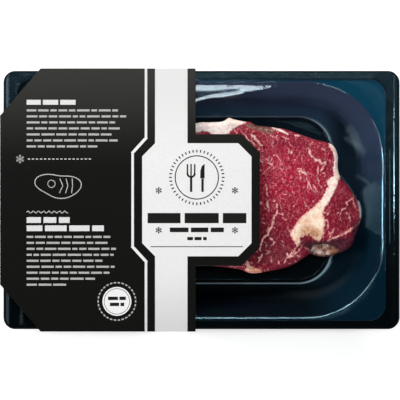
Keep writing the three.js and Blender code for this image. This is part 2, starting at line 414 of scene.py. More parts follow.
def offsetLevels(levels, distance):
    # the same levels moved square to the surface
    moved = []
    for i, level in enumerate(levels):
        before, after = levels[max(i - 1, 0)], levels[min(i + 1, len(levels) - 1)]
        run, rise = before[1] - after[1], after[3] - before[3]
        length = math.hypot(run, rise) or 1.0
        inward = -rise / length * distance
        up = run / length * distance
        moved.append(level + np.array([-inward, -inward, -inward, up]))
    return moved


def ringOf(level, steps):
    loop = roundedLoop(level[0], level[1], max(level[2], 0.05), steps)
    inset = tray["length"] / 2 - np.abs(loop[:, 0])
    across = np.clip((inset - tray["bead"][0]) / (tray["bead"][1] - tray["bead"][0]), 0, 1)
    height = level[3] + tray["beadHeight"] * (0.5 - 0.5 * np.cos(2 * math.pi * across))
    return np.column_stack([loop[:, 0] + tray["centreX"], loop[:, 1], height])


def makeTray():
    steps = tray["steps"]
    upper = [ringOf(level, steps) for level in trayLevels]
    under = [ringOf(level, steps) for level in offsetLevels(trayLevels[flangeCount:], -tray["wall"])]
    foot = trayLevels[0] - np.array([0.7, 0.7, 0.7, 0])
    shoulder = trayLevels[tray["curlSteps"]] - np.array([0, 0, 0, tray["wall"]])
    inner = [foot, foot + np.array([-0.4, -0.1, -0.2, 0.8]), shoulder]
    rings = upper[::-1] + [ringOf(level, steps) for level in inner] + under[1:]
    zones = trayZones[::-1] + [0.0] * 3 + trayZones[flangeCount + 1:]
    per = len(rings[0])
    poles = [(tray["centreX"], 0, tray["floorTop"]), (tray["centreX"], 0, tray["floorTop"] - tray["wall"])]
    points = np.vstack(rings + [poles])
    faces = ringFaces(len(rings), per, per * len(rings), per * len(rings) + 1)
    marks = np.repeat(zones, per).tolist() + [8.5, 8.5]
    return addPiece("thermoformedTray", points, faces, trayPlastic(), marks={"zone": marks})


def trayPlastic():
    look = Finish("petrolPlastic")
    zone = look.attribute("zone")
    cloud = look.noise(look.place(), 0.035, 2.0)
    fine = look.noise(look.place(), 1.2, 3.0)
    x, y, _ = look.axes(look.place())
    # 0 at the front, 1 at the back, with a cloudy edge; it steers the painted light on the tray's colours
    back = (cloud * 60 + y).between(-50, 90)
    onPanel = zone.between(0.6, 1.4) * (1 - zone.between(2.9, 3.6)) * x.between(-104, -92)
    onLedge = zone.between(4.5, 5.5)
    onFloor = zone.between(6.6, 7.1)
    # painted light: the walls, ledge, flange, panel and floor are painted lighter towards the back, where
    # the light falls more strongly
    wallColourAndPaintedLight = look.ramp(back, (0.1, (0, 7, 14)), (0.5, (8, 34, 50)), (0.9, (44, 54, 76)))
    ledgeColourAndPaintedLight = look.ramp(back, (0.1, (0, 7, 12)), (0.5, (2, 27, 38)), (0.9, (42, 64, 86)))
    # painted shade: the ledge is painted darker on the right at the back; painted light: the walls and the
    # ledge are painted a lighter teal at the front right
    ledgeColourAndPaintedLight = look.blend(x.between(74, 92) * back, ledgeColourAndPaintedLight, (10, 22, 33))
    paintedLightFrontRight = x.between(62, 100) * (1 - back)
    wallColourAndPaintedLight = look.blend(paintedLightFrontRight, wallColourAndPaintedLight, (1, 27, 40))
    ledgeColourAndPaintedLight = look.blend(paintedLightFrontRight, ledgeColourAndPaintedLight, (1, 24, 36))
    flangeColourAndPaintedLight = look.ramp(back, (0.1, (0, 3, 5)), (0.9, (6, 20, 26)))
    panelColourAndPaintedLight = look.ramp(back, (0.1, (0, 26, 40)), (0.9, (8, 54, 74)))
    floorColourAndPaintedLight = look.ramp(back, (0.1, (1, 8, 13)), (0.9, (12, 27, 36)))
    # painted shade: at the left end, under the card, the panel and its step keep the flange's colour
    # instead of the panel's lighter teal
    colour = look.blend(zone.between(0.3, 0.9) * x.between(-104, -92), flangeColourAndPaintedLight, wallColourAndPaintedLight)
    colour = look.blend(onPanel, colour, panelColourAndPaintedLight)
    colour = look.blend(onLedge, colour, ledgeColourAndPaintedLight)
    colour = look.blend(onFloor, colour, floorColourAndPaintedLight)
    return look.done(look.surface({
        "Base Color": colour,
        "Roughness": fine * 0.1 + 0.4,
        "Specular IOR Level": 0.04,
        "Normal": look.bump(fine, 0.000008),
    }))


# The steak

steak = {
    "centre": (22.45, 1.0),
    "top": 20.1,
    "shoulder": 3.4,
    "rays": 600,
    "turns": [
        (-2.7, 48.5), (5.3, 49.1), (14.1, 49.6), (18.4, 51.9), (21.5, 51.0), (28.9, 49.5), (32.0, 49.3),
        (35.9, 47.2), (43.1, 46.3), (53.6, 44.8), (62.7, 41.9), (73.0, 38.3), (81.0, 36.3),
        (85.0, 33.6), (87.2, 28.0), (87.3, 19.8), (89.4, 13.8), (95.0, 7.2), (101.2, -3.4),
        (102.3, -9.5), (101.1, -15.6), (98.6, -22.5), (96.9, -27.6), (93.6, -31.0), (89.4, -33.1),
        (83.0, -35.6), (77.9, -36.1), (73.1, -35.4), (69.8, -34.2), (66.0, -36.6), (56.2, -42.1),
        (43.9, -45.0), (33.1, -46.3), (24.2, -43.7), (9.1, -41.7), (-20.0, -39.5), (-42.0, -30.0),
        (-55.5, -14.0), (-58.0, 6.0), (-50.0, 26.0), (-32.0, 41.0),
    ],
    "relief": [
        (72.0, -8.0, 13, 17, -1.3), (89.0, -4.0, 12, 18, 0.9), (78.0, -32.5, 11, 6, -4.2),
        (14.0, 46.0, 26, 8, -1.6), (40.0, 16.0, 24, 20, 0.9), (34.0, -24.0, 22, 14, -0.8),
        (-26.0, 2.0, 22, 24, 0.6),
    ],
    # fat areas, as outlines
    "fatAreas": {
        "cap": [
            (-40.0, 47.0), (-12.0, 50.0), (-2.7, 50.0), (5.3, 50.5), (14.0, 51.0), (18.2, 54.0),
            (22.0, 52.5), (29.5, 49.6), (28.5, 48.2), (24.6, 47.2), (21.1, 45.0), (18.1, 42.0),
            (14.1, 39.8), (8.6, 40.0), (5.9, 42.5), (2.1, 43.4), (-2.3, 42.6), (-10.0, 40.0),
            (-30.0, 38.0),
        ],
        "seam": [
            (79.9, 12.0), (81.0, 8.8), (78.0, 2.5), (74.9, -1.3), (71.5, -4.8), (67.7, -7.8),
            (62.9, -11.6), (60.4, -15.5), (57.5, -20.4), (57.0, -21.8), (59.0, -25.7), (61.9, -29.8),
            (63.6, -27.3), (63.4, -24.8), (64.4, -23.2), (65.6, -23.6), (66.4, -22.2), (67.6, -23.2),
            (68.8, -21.6), (69.8, -22.8), (70.8, -22.2), (71.3, -24.6), (72.2, -24.2), (73.0, -25.9),
            (74.2, -25.4), (75.4, -26.8), (76.9, -24.7), (78.4, -21.8), (78.6, -17.9), (79.5, -13.1),
            (77.9, -9.7), (78.4, -6.3), (81.2, -2.4), (82.9, 1.4), (84.4, 4.4), (86.3, 8.2),
            (87.7, 12.6), (85.0, 15.8), (82.0, 13.9),
        ],
        "rightEdge": [
            (80.6, 38.0), (86.0, 36.0), (88.5, 30.0), (89.5, 24.0), (89.5, 16.0), (88.5, 12.5),
            (84.8, 14.6), (84.2, 19.0), (85.0, 25.3), (84.0, 30.4), (81.6, 33.6),
        ],
        "lowerTip": [
            (28.4, -36.2), (30.6, -39.0), (32.5, -41.6), (35.6, -43.1), (39.4, -44.3), (39.0, -47.0),
            (33.1, -48.0), (28.6, -45.0), (29.0, -41.2),
        ],
    },
    # the larger streaks of fat: width, then the places along the middle
    "streaks": [
        (1.2, [(61.6, -29.1), (58.9, -33.4), (55.1, -36.5), (52.1, -41.2)]),
        (0.8, [(65.4, -27.3), (62.9, -31.7), (59.7, -34.2)]),
        (1.7, [(55.0, -33.6), (56.4, -35.8), (59.1, -35.2)]),
        (1.5, [
            (48.8, -2.4), (48.9, -7.8), (46.8, -14.0), (43.5, -19.8), (40.6, -23.7), (38.8, -28.6),
            (38.3, -31.5),
        ]),
        (1.0, [(42.0, -18.9), (42.2, -22.6)]),
        (0.8, [(41.0, 11.5), (42.0, 6.3), (42.6, 2.4)]),
        (1.3, [(42.9, -0.4), (42.3, -3.6), (43.4, -7.6)]),
        (1.9, [(32.4, 41.0), (35.6, 38.0), (39.2, 34.6)]),
        (0.8, [(26.1, 43.4), (30.6, 38.6), (39.4, 30.8)]),
        (1.0, [(55.0, 33.0), (56.6, 30.6), (57.6, 28.6)]),
        (0.8, [(39.0, 27.6), (43.4, 25.2), (45.6, 22.8), (46.6, 19.0)]),
        (1.0, [(36.0, 25.6), (38.4, 24.4), (40.4, 23.0)]),
        (1.4, [(68.4, 33.0), (69.4, 29.6), (71.6, 27.2)]),
        (1.8, [(71.6, 27.2), (75.4, 25.0), (80.0, 23.8)]),
        (0.9, [(79.6, 23.0), (77.6, 19.6), (76.4, 16.4)]),
        (0.9, [(77.4, 32.4), (79.0, 31.4), (80.4, 32.6)]),
        (2.2, [(62.6, 18.2), (65.0, 17.8), (67.6, 16.0)]),
        (1.0, [(62.8, 17.4), (63.8, 15.0), (63.2, 12.8)]),
        (0.9, [(67.4, 15.0), (68.6, 11.0), (70.2, 7.6), (73.0, 5.0)]),
        (1.1, [(73.4, 16.0), (74.6, 13.4), (75.6, 11.6)]),
        (0.9, [(96.3, 3.8), (94.5, 0.0), (92.9, -3.5), (89.9, -5.8), (89.0, -9.2), (89.5, -14.0)]),
        (0.7, [(92.4, -7.8), (94.0, -10.3), (94.6, -14.0)]),
        (0.8, [(79.3, -12.2), (81.4, -15.9), (82.3, -21.4)]),
        (0.7, [(86.0, -16.9), (83.6, -21.6), (82.0, -25.2)]),
        (1.3, [(80.0, -27.0), (85.1, -23.7), (89.9, -21.9)]),
        (1.8, [(89.9, -21.9), (94.8, -19.6), (98.3, -16.9), (101.0, -13.6)]),
        (0.8, [(78.0, -7.4), (80.4, -9.6), (82.0, -8.2)]),
        (1.0, [(55.4, -16.2), (56.6, -19.8), (58.4, -23.4)]),
        (1.6, [(43.2, 47.4), (45.8, 46.2), (48.0, 45.4)]),
        (1.9, [(48.6, 45.0), (52.1, 43.6), (55.8, 41.6)]),
        (1.2, [(59.7, 41.4), (63.2, 40.4)]),
        (0.7, [(44.6, -23.6), (46.6, -25.8), (45.2, -29.0)]),
        (0.9, [(36.6, -39.8), (38.0, -36.6), (39.2, -34.0)]),
        (0.9, [(37.8, -37.6), (36.4, -36.4)]),
    ],
    "raggedness": 0.55,
    # small flecks of marbling drawn at random
    "flecks": {
        "count": 560,
        "seed": 7,
        "heading": -0.95,
        "swing": 0.5,
        "length": (1.2, 5.2),
        "width": (0.3, 0.85),
    },
    # other tints: (x, y, half width x, half width y, strength)
    "tints": ("membrane", "gristle", "brown", "golden", "rosy", "fresh", "dark", "pale"),
    "membrane": [
        (91.0, -28.4, 9, 4.6, 1.0), (99.0, -20.5, 3.4, 8.0, 0.9), (71.0, -28.4, 5.0, 2.6, 0.9),
        (78.0, -35.0, 10, 2.2, 0.8), (80.0, -27.6, 6, 1.5, 0.7),
    ],
    "gristle": [(76.2, -31.6, 6.6, 3.9, 1.0), (83.0, -31.9, 5.6, 3.0, 0.9)],
    "brown": [(38.0, 46.6, 6.0, 3.2, 1.0), (44.0, 43.4, 5.0, 2.6, 0.7), (31.0, 47.0, 4.0, 2.0, 0.5)],
    "golden": [
        (73.5, -21.5, 6, 5.0, 1.0), (67.0, -19.0, 5, 4.5, 0.9), (63.5, -24.5, 3.2, 4, 0.5),
        (66.0, -12.0, 6, 3, 0.35), (87.0, 14.0, 3, 5, 0.5),
    ],
    "rosy": [(35.0, -44.5, 8, 4.0, 1.3)],
    "fresh": [
        (6.0, 46.0, 28, 7, 1.0), (87.0, 26.0, 5, 14, 0.8), (80.0, 4.0, 8, 8, 0.6),
        (52.0, 44.0, 10, 3, 0.6),
    ],
    # the dark tint is partly a darker red muscle and partly painted shade, beside and below the card's flap
    # and towards the lower edge
    "dark": [
        (92.0, -8.0, 12, 20, 0.75), (36.0, -22.0, 20, 15, 0.95), (50.0, -38.0, 26, 10, 0.75),
        (66.0, -27.0, 6, 4, 1.0), (60.0, 36.0, 26, 6, 0.35), (80.0, 22.0, 6, 7, 0.3),
    ],
    # the pale tint is partly paler lean and partly painted light on the middle and back of the steak
    "pale": [(54.0, 24.0, 24, 15, 0.9), (60.0, 4.0, 14, 14, 0.6)],
}


def roundedCurve(turns, count):
    # a closed smooth curve through the turns, as evenly shared points
    turns = np.array(turns, float)
    size = len(turns)
    points = []
    for i in range(size):
        a, b, c, d = (turns[(i + j) % size] for j in (-1, 0, 1, 2))
        for f in np.linspace(0, 1, count, endpoint=False):
            square, cube = 2 * a - 5 * b + 4 * c - d, 3 * b - a - 3 * c + d
            points.append(0.5 * (2 * b + (c - a) * f + square * f**2 + cube * f**3))
    return np.array(points)


def radiusTable(turns, centre, rays):
    # distance from the centre to the outline, along rays given by their angles
    curve = roundedCurve(turns, 14) - np.array(centre)
    angle = np.arctan2(curve[:, 1], curve[:, 0])
    order = np.argsort(angle)
    reach = np.hypot(*curve.T)[order]
    angle = angle[order]
    angle = np.concatenate([angle - 2 * math.pi, angle, angle + 2 * math.pi])
    return np.interp(rays, angle, np.tile(reach, 3))


def distanceToPath(places, path, closed=False):
    # distance from each place to a path, and how far along the path its nearest point is
    path = np.array(path, float)
    ends = np.roll(path, -1, 0) if closed else path[1:]
    starts = path if closed else path[:-1]
    best = np.full(len(places), 1e9)
    along = np.zeros(len(places))
    for i, (a, b) in enumerate(zip(starts, ends)):
        ab = b - a
        f = np.clip(((places - a) @ ab) / max(ab @ ab, 1e-9), 0, 1)
        d = np.hypot(*(places - a - f[:, None] * ab).T)
        closer = d < best
        best[closer] = d[closer]
        along[closer] = (i + f[closer]) / len(starts)
    return best, along


def insideOutline(places, outline):
    inside = np.zeros(len(places), bool)
    x, y = places.T
    for (x1, y1), (x2, y2) in zip(outline, outline[1:] + outline[:1]):
        if y1 != y2:
            crosses = (y1 > y) != (y2 > y)
            inside ^= crosses & (x < (x2 - x1) * (y - y1) / (y2 - y1) + x1)
    return inside


def raggedPath(path, draw, amount):
    # halves every stretch and shakes the new points, so that a streak isn't a smooth line
    points = [np.array(path[0], float)]
    for a, b in zip(path, path[1:]):
        a, b = np.array(a, float), np.array(b, float)
        for f in (0.5, 1.0):
            shake = np.array([draw.gauss(0, amount), draw.gauss(0, amount)]) * (1.0 if f < 1 else 0.4)
            points.append(a + (b - a) * f + shake)
    return points


def fatField(places):
    # millimetres inside the nearest large fat, negative in the lean
    draw = random.Random(3)
    field = np.full(len(places), -6.0)
    for outline in steak["fatAreas"].values():
        depth, _ = distanceToPath(places, outline, closed=True)
        depth[~insideOutline(places, outline)] *= -1
        field = np.maximum(field, depth)
    for width, path in steak["streaks"]:
        distance, along = distanceToPath(places, raggedPath(path, draw, steak["raggedness"]))
        taper = 0.3 + 0.7 * np.sin(np.pi * np.clip(0.12 + 0.8 * along, 0, 1))
        field = np.maximum(field, 0.5 * width * taper - distance)
    return field


def drawFlecks():
    # short crooked flecks, each a path with a width and a strength
    f = steak["flecks"]
    draw = random.Random(f["seed"])
    flecks = []
    while len(flecks) < f["count"]:
        x, y = draw.uniform(-56, 101), draw.uniform(-44, 48)
        heading = f["heading"] + 0.5 * math.sin(x / 21 + y / 34) + draw.gauss(0, f["swing"])
        length = draw.uniform(*f["length"]) * draw.choice((0.6, 0.8, 1.0, 1.3))
        width = draw.uniform(*f["width"])
        strength = draw.uniform(0.45, 1.0)
        parts = draw.randint(2, 4)
        path = [(x, y)]
        for _ in range(parts):
            heading += draw.gauss(0, 0.45)
            x += math.cos(heading) * length / parts
            y += math.sin(heading) * length / parts
            path.append((x, y))
        flecks.append((width, strength, path))
        if draw.random() < 0.35:
            side = heading + draw.choice((-1, 1)) * draw.uniform(0.6, 1.2)
            start = path[len(path) // 2]
            reach = length * draw.uniform(0.3, 0.6)
            stop = (start[0] + math.cos(side) * reach, start[1] + math.sin(side) * reach)
            flecks.append((width * 0.8, strength * 0.9, [start, stop]))
    return flecks


def fleckField(places):
    # 0 in plain lean, up to 1 in the middle of a fleck
    field = np.zeros(len(places))
    for width, strength, path in drawFlecks():
        middle = np.mean(np.array(path), 0)
        near = np.flatnonzero(np.hypot(*(places - middle).T) < 9)
        if len(near):
            distance, along = distanceToPath(places[near], path)
            taper = 0.45 + 0.55 * np.sin(np.pi * np.clip(0.1 + 0.85 * along, 0, 1))
            core = np.clip(1.25 - distance / (0.5 * width * taper + 0.22), 0, 1)
            field[near] = np.maximum(field[near], strength * core)
    return field


def steakTop(places):
    ripple = 0.25 * np.sin(places[:, 0] / 6.5) * np.cos(places[:, 1] / 7.5)
    return steak["top"] + swell(places, steak["relief"]) + ripple


def steakSurface(places):
    # height of the cut face, rounded off to the side at the outline
    offset = places - np.array(steak["centre"])
    edge = radiusTable(steak["turns"], steak["centre"], np.arctan2(offset[:, 1], offset[:, 0]))
    inset = edge - np.hypot(*offset.T)
    roll = np.clip(1 - inset / 3.8, 0, 1)
    return steakTop(places) - steak["shoulder"] * (1 - np.sqrt(np.clip(1 - roll**2, 0, 1))), inset


def makeSteak():
    centre = np.array(steak["centre"])
    trayCentre = np.array([tray["centreX"], 0])
    angle = np.linspace(0, 2 * math.pi, steak["rays"], endpoint=False)
    ray = np.column_stack([np.cos(angle), np.sin(angle)])
    radius = radiusTable(steak["turns"], steak["centre"], angle)
    shoulder = 0.9 + 0.1 * np.sin(np.linspace(0, math.pi / 2, 18))[1:]
    shares = np.concatenate([np.linspace(0.012, 0.9, 104), shoulder])
    rings = []
    for share in shares:
        spot = centre + ray * (radius * share)[:, None]
        rings.append(np.column_stack([spot, steakSurface(spot)[0]]))
    edge = rings[-1]
    seat = trayHeight(centre + ray * radius[:, None] - trayCentre) + 0.6
    for f in np.linspace(0.12, 1, 12):
        belly = 0.5 * math.sin(f * math.pi) - 2.6 * f**4
        spot = centre + ray * (radius + belly)[:, None]
        rings.append(np.column_stack([spot, edge[:, 2] + f * (seat - edge[:, 2])]))
    for share in (0.9, 0.7, 0.4, 0.15):
        spot = centre + ray * (radius * share)[:, None]
        rings.append(np.column_stack([spot, trayHeight(spot - trayCentre) + 0.6]))
    per = len(ray)
    poles = [(*centre, steakTop(centre[None])[0]), (*centre, tray["floorTop"] + 0.6)]
    points = np.vstack(rings + [poles])
    flat = points[:, :2].copy()
    upper = np.arange(len(points)) < len(shares) * per
    upper[-2] = True
    fat = fatField(flat)
    points[:, 2] += np.where(upper, np.clip((fat + 0.6) / 1.6, 0, 1) * 0.35, 0)
    faces = ringFaces(len(rings), per, per * len(rings), per * len(rings) + 1)
    marks = {name: swell(flat, steak[name]) for name in steak["tints"]}
    marks["fat"] = fat
    marks["fleck"] = np.where(upper, fleckField(flat), 0)
    marks["side"] = np.where(upper, np.clip(1 - steakSurface(flat)[1] / 2.6, 0, 1), 1.0)
    return addPiece("striploinSteak", points, faces, rawBeef(), marks=marks)


def rawBeef():
    look = Finish("rawBeef")
    place = look.place()
    grain = look.place(scale=(1.0, 0.62, 1.0), turn=(0, 0, -0.55))
    wobble = look.noise(place, 0.6, 4.0, 0.65)
    flakes = look.noise(grain, 0.82, 3.0, 0.62, 1.3)
    pits = look.noise(place, 0.8, 3.0, 0.62, 0.8)
    patches = look.noise(place, 0.16, 2.0, 0.5, 0.5).between(0.38, 0.62)
    veins = look.noise(grain, 0.42, 4.0, 0.7, 1.2)
    cloud = look.noise(place, 0.07, 3.0, 0.6)
    soft = look.noise(place, 0.26, 2.0, 0.5, 0.8)
    fat = look.attribute("fat")
    dark = look.attribute("dark")
    side = look.attribute("side")

    # lighter, pinker lean where the pale tint lies, partly the meat's own colour and partly painted light
    paleAndPaintedLight = (look.attribute("pale") * (cloud + 0.4)).least(1)
    # darker red lean where the dark tint lies, partly the meat's own colour and partly painted shade
    deepAndPaintedShade = (dark * (cloud.between(0.3, 0.7) * 0.5 + 0.75)).least(1)
    colour = look.blend(cloud.between(0.35, 0.65), (138, 8, 36), (156, 14, 45))
    colour = look.blend(paleAndPaintedLight, colour, (174, 20, 56))
    colour = look.blend(deepAndPaintedShade, colour, (102, 10, 32))
    pit = look.blend(deepAndPaintedShade, (96, 8, 30), (58, 2, 18))
    colour = look.blend((1 - pits.between(0.38, 0.56)) * 0.75, colour, pit)
    flake = flakes.between(0.51, 0.64) * (1 - deepAndPaintedShade * 0.7) * (patches * 0.5 + 0.6).least(1)
    colour = look.blend(flake * 0.85, colour, look.blend(paleAndPaintedLight, (204, 104, 116), (230, 126, 138)))

    vein = veins.between(0.6, 0.68) * wobble.between(0.4, 0.56) * 0.75
    fleck = (look.attribute("fleck") + (flakes - 0.5) * 1.2).between(0.3, 0.85)
    marbling = vein.most(fleck * 0.95) * (1 - deepAndPaintedShade * 0.4)
    colour = look.blend(marbling, colour, (240, 164, 164))

    fatHere = (fat + (wobble - 0.5) * 2.0 + (flakes - 0.5) * 1.4).between(-0.25, 0.4)
    pink = look.ramp(wobble, (0.36, (214, 128, 126)), (0.6, (240, 180, 172)))
    cream = look.ramp(
        soft * 0.7 + wobble * 0.3,
        (0.36, (230, 178, 148)), (0.47, (242, 210, 182)), (0.62, (250, 234, 212)),
    )
    cream = look.blend((1 - abs(veins - 0.5).between(0.004, 0.03)) * 0.35, cream, (214, 142, 118))
    cream = look.blend((fat + (wobble - 0.5) * 1.5).between(0.3, 1.4), pink, cream)
    fresh = (look.attribute("fresh") * (wobble * 0.6 + 0.7)).least(1)
    freshFat = look.ramp(wobble, (0.36, (242, 208, 201)), (0.6, (255, 250, 246)))
    cream = look.blend(fresh * 0.9, cream, freshFat)
    golden = look.ramp(
        soft * 0.6 + wobble * 0.4,
        (0.38, (118, 62, 44)), (0.46, (172, 116, 84)), (0.56, (214, 164, 126)), (0.68, (240, 206, 172)),
    )
    cream = look.blend((look.attribute("golden") * (soft * 1.6)).between(0.25, 0.95), cream, golden)
    rosyFat = look.ramp(wobble, (0.36, (190, 108, 84)), (0.6, (222, 156, 130)))
    cream = look.blend(look.attribute("rosy") * 0.85, cream, rosyFat)
    colour = look.blend(fatHere, colour, cream)
    membrane = (look.attribute("membrane") * (wobble + 0.5)).between(0.12, 0.6)
    skin = look.ramp(flakes, (0.42, (28, 5, 17)), (0.64, (96, 38, 58)))
    colour = look.blend(membrane * 0.9, colour, skin)
    brown = look.ramp(wobble, (0.35, (82, 34, 34)), (0.65, (150, 104, 90)))
    colour = look.blend((look.attribute("brown") * (wobble + 0.5)).between(0.35, 0.7), colour, brown)
    gristle = look.attribute("gristle")
    lump = look.noise(place, 0.22, 5.0, 0.62, 0.8)
    sinew = look.ramp(
        lump, (0.38, (52, 26, 24)), (0.47, (126, 84, 66)), (0.56, (170, 142, 130)), (0.66, (204, 194, 184)),
    )
    tan = look.ramp(lump, (0.36, (40, 16, 16)), (0.5, (98, 54, 40)), (0.66, (156, 104, 78)))
    x, _, _ = look.axes(place)
    sinew = look.blend((x + soft * 8).between(83, 88), sinew, tan)
    sinew = look.blend((gristle + (wobble - 0.5) * 1.1).between(0.35, 0.75), (34, 15, 18), sinew)
    colour = look.blend((gristle + (wobble - 0.5) * 0.8).between(0.22, 0.4), colour, sinew)
    colour = look.blend(side * side * 0.4 * (1 - fatHere), colour, (60, 12, 26))

    return look.done(look.surface({
        "Base Color": colour,
        "Roughness": 0.55 - fatHere * 0.08 + wobble * 0.1,
        "IOR": 1.38,
        "Specular IOR Level": 0.2,
        "Normal": look.bump(flakes * 0.4 + wobble * 0.5 + fatHere * 0.5, 0.00035),
    }))


# The skin film

film = {
    "overTray": 0.32,
    "overSteak": 0.65,
    "start": 8,  # the first level that the film covers, where the lip's curl begins
    "stride": 0.62,  # widest gap between two rings
    "bends": [0.3, 0.3, 0.0, 2.8, 3.0, 2.2, 1.25, 1.25, 0.0],
    "steps": {"long": 76, "end": 50, "corner": 34},
    # where the film bridges a wall: places along it, how far in it reaches there, and its slope
    "bridges": {
        "back": ([-20, -3, 10, 27, 47, 55, 60], [14.5, 13.6, 11.0, 8.4, 4.6, 2.0, 0], 0.62),
        "right": ([-26, -17, -3, 8, 15, 26, 31, 40, 47], [0, 13, 15.5, 14, 0, 0, 16, 19, 0], 0.566),
    },
    "landing": 1.75,  # how steeply it falls back to the tray behind a bridge
    # how strongly the film mirrors in each zone
    "sheen": {
        "zone": [0, 0.5, 1.0, 2.0, 3.0, 3.6, 4.0, 5.0, 6.05, 6.2, 7.5],
        "share": [1.0, 0.3, 0.6, 0.3, 2.0, 2.0, 0.25, 0.08, 0.08, 1.0, 0.8],
    },
    "sheenOnBridge": {"back": 0.09, "right": 0.05},
    "sheenOnSteak": 0.16,
    "sheenBySteak": 0.05,
    # two strands along the back wall where the film is made to mirror more and whiter, so the lamp's
    # reflection shows there as painted highlights: places, upper edge, lower edge
    "paintedStrands": [
        (
            [-20, -2.6, 7.8, 14.0, 19.2, 24.0, 26.5, 29.3, 37.3, 45.1, 50.0],
            [72.6, 72.6, 72.6, 72.6, 72.6, 72.6, 72.4, 72.2, 72.1, 72.1, 71.8],
            [68.7, 68.9, 69.0, 69.5, 70.1, 70.1, 69.3, 68.5, 69.7, 71.0, 71.6],
        ),
        (
            [-20, -2.6, 3.4, 8.1, 13.5, 20.8, 25.5, 28.0],
            [61.0, 64.2, 65.8, 66.9, 67.7, 68.3, 69.5, 69.9],
            [59.0, 62.2, 64.2, 64.9, 64.7, 64.9, 66.1, 68.2],
        ),
    ],
    "strandSheen": 1.25,
    "strandWhite": 0.6,
    "strandBlur": 0.5,
    "gleamBlur": 0.8,
    # how far outside the steak's outline its own sheen begins, and over what length it comes in
    "nearSteak": (2, 4),
    "ontoSteak": (1.5, 2.5),
    # painted highlights, single places where the film is made to mirror more: width, strength, and places
    # along the middle
    "paintedGleams": [
        (4.6, 0.07, [(103.6, 14.0), (107.0, 11.0), (110.0, 4.0)]),
        (7.5, 0.07, [(105.4, 3.0), (106.6, -6.0), (105.0, -13.0)]),
        (1.0, 1.2, [(89.5, 15.5), (94.0, 9.5), (99.5, 0.0)]),
    ],
    # single painted highlights, where a whitish layer is mixed into the film: width, strength, and places
    # along the middle
    "paintedHighlightStreaks": [
        (1.4, 1.0, [(100.6, -1.4), (101.9, -6.0), (101.9, -10.8)]),
        (0.6, 0.2, [(89.6, 15.5), (94.2, 9.5), (99.6, 0.0)]),
        (5.0, 0.07, [(96.0, 45.0), (98.6, 38.0), (102.4, 30.0)]),
        (2.4, 0.06, [(93.0, 39.0), (96.4, 36.4), (100.0, 35.0)]),
        (1.6, 0.08, [(100.6, 15.5), (104.6, 13.2), (108.4, 8.4)]),
        (1.5, 0.14, [(-121.5, 79.0), (-121.5, 50.0)]),
        (0.5, 0.08, [(-114.3, 73.3), (-115.9, 68.3)]),
        (0.6, 0.06, [(-109.0, 80.5), (-109.0, 74.0)]),
        (1.5, 0.07, [(-121.5, -50.0), (-121.5, -79.0)]),
        (1.2, 0.05, [(-112.6, -64.0), (-112.6, -78.0)]),
    ],
    # painted highlight lines over the floor step, where a whitish layer is mixed into the film: zone, half
    # width, strength by place
    "crease": {
        "zone": 6.45, "half": 0.2, "front": 0.7, "back": 0.22,
        "corner": 0.3, "cornerX": 78, "cornerSpread": 9,
        "endX": 85, "endFade": 2,
    },
    # past the steak's outline the film falls steeply and meets the tray in a small hollow curve
    "drape": {"clear": 0.3, "edge": 0.6, "steepness": 3.0, "reach": -12, "hollow": 1.3},
    # the right lip is made to mirror most near its middle, a painted highlight on the lamp's reflection
    "rightLip": {"zone": 1.4, "x": 110, "least": 0.45, "more": 1.3, "y": 9, "spread": 20},
    # the left end is made to mirror less, as painted shade
    "leftEnd": {"zone": 2, "x": -95, "share": 0.35},
    # the film is made to mirror less on the front flange and wall, as painted shade, and on the rim along
    # the back, which takes out a highlight
    "frontFade": {"y": [-75, -20], "share": [0.25, 1]},
    "backFade": {"y": [44, 60], "share": [1, 0.15]},
    # where the film lies on the walls, and so is rougher
    "wall": {"zone": [3.6, 4.0, 5.6, 6.2], "share": [0, 1, 1, 0]},
}


def refined(levels, zones, stride):
    # puts levels between, so that no gap in plan is wider than the stride
    fineLevels, fineZones = [], []
    for i in range(len(levels) - 1):
        gap = max(abs(levels[i] - levels[i + 1])[:2].max(), abs(levels[i][3] - levels[i + 1][3]) * 0.5)
        parts = max(1, math.ceil(gap / stride))
        for k in range(parts):
            f = k / parts
            fineLevels.append(levels[i] * (1 - f) + levels[i + 1] * f)
            fineZones.append(zones[i] * (1 - f) + zones[i + 1] * f)
    return fineLevels + [levels[-1]], fineZones + [zones[-1]]


def filmRings():
    levels, zones = trayLevelsOf(tray, film["bends"])
    levels = offsetLevels(levels, film["overTray"])
    levels, zones = refined(levels[film["start"]:-1], zones[film["start"]:-1], film["stride"])
    rings = [ringOf(level, film["steps"]) for level in levels]
    centre = np.array([tray["centreX"], 0])
    count = int(rings[-1][:, 0].max() / film["stride"])
    for share in np.linspace(1, 0, count, endpoint=False)[1:]:
        spot = centre + (rings[len(levels) - 1][:, :2] - centre) * share
        rings.append(np.column_stack([spot, np.full(len(spot), levels[-1][3])]))
        zones.append(8.5)
    # from the middle outwards, so that the faces look up
    return np.array(rings[::-1]), zones[::-1]


def bridgeLift(points, side):
    # how far the film stands off a wall: it leaves the rim at a gentle slope, then falls back to the tray
    places, reaches, slope = film["bridges"][side]
    halves = (tray["length"] / 2 - tray["flangeEnd"], tray["width"] / 2 - tray["flangeSide"])
    fromCentre = points[:, :2] - np.array([tray["centreX"], 0])
    inside = -roundedDistance(fromCentre, (*halves, tray["wellCorner"]))
    x, y = points[:, 0], points[:, 1]
    along, facing = (x, y > 0) if side == "back" else (y, x > 60)
    width = np.interp(along, places, reaches) * facing
    rim = tray["flangeTop"] - tray["panelDrop"] + film["overTray"]
    height = rim - slope * np.minimum(inside, width) - film["landing"] * np.clip(inside - width, 0, None)
    lift = np.where((width > 0) & (inside > 0), np.clip(height - points[:, 2], 0, None), 0)
    return lift, (width > 0.4) & (inside < width + 0.4) & (inside > 1.0)


def bell(values, middle, spread):
    return np.exp(-(((values - middle) / spread) ** 2))


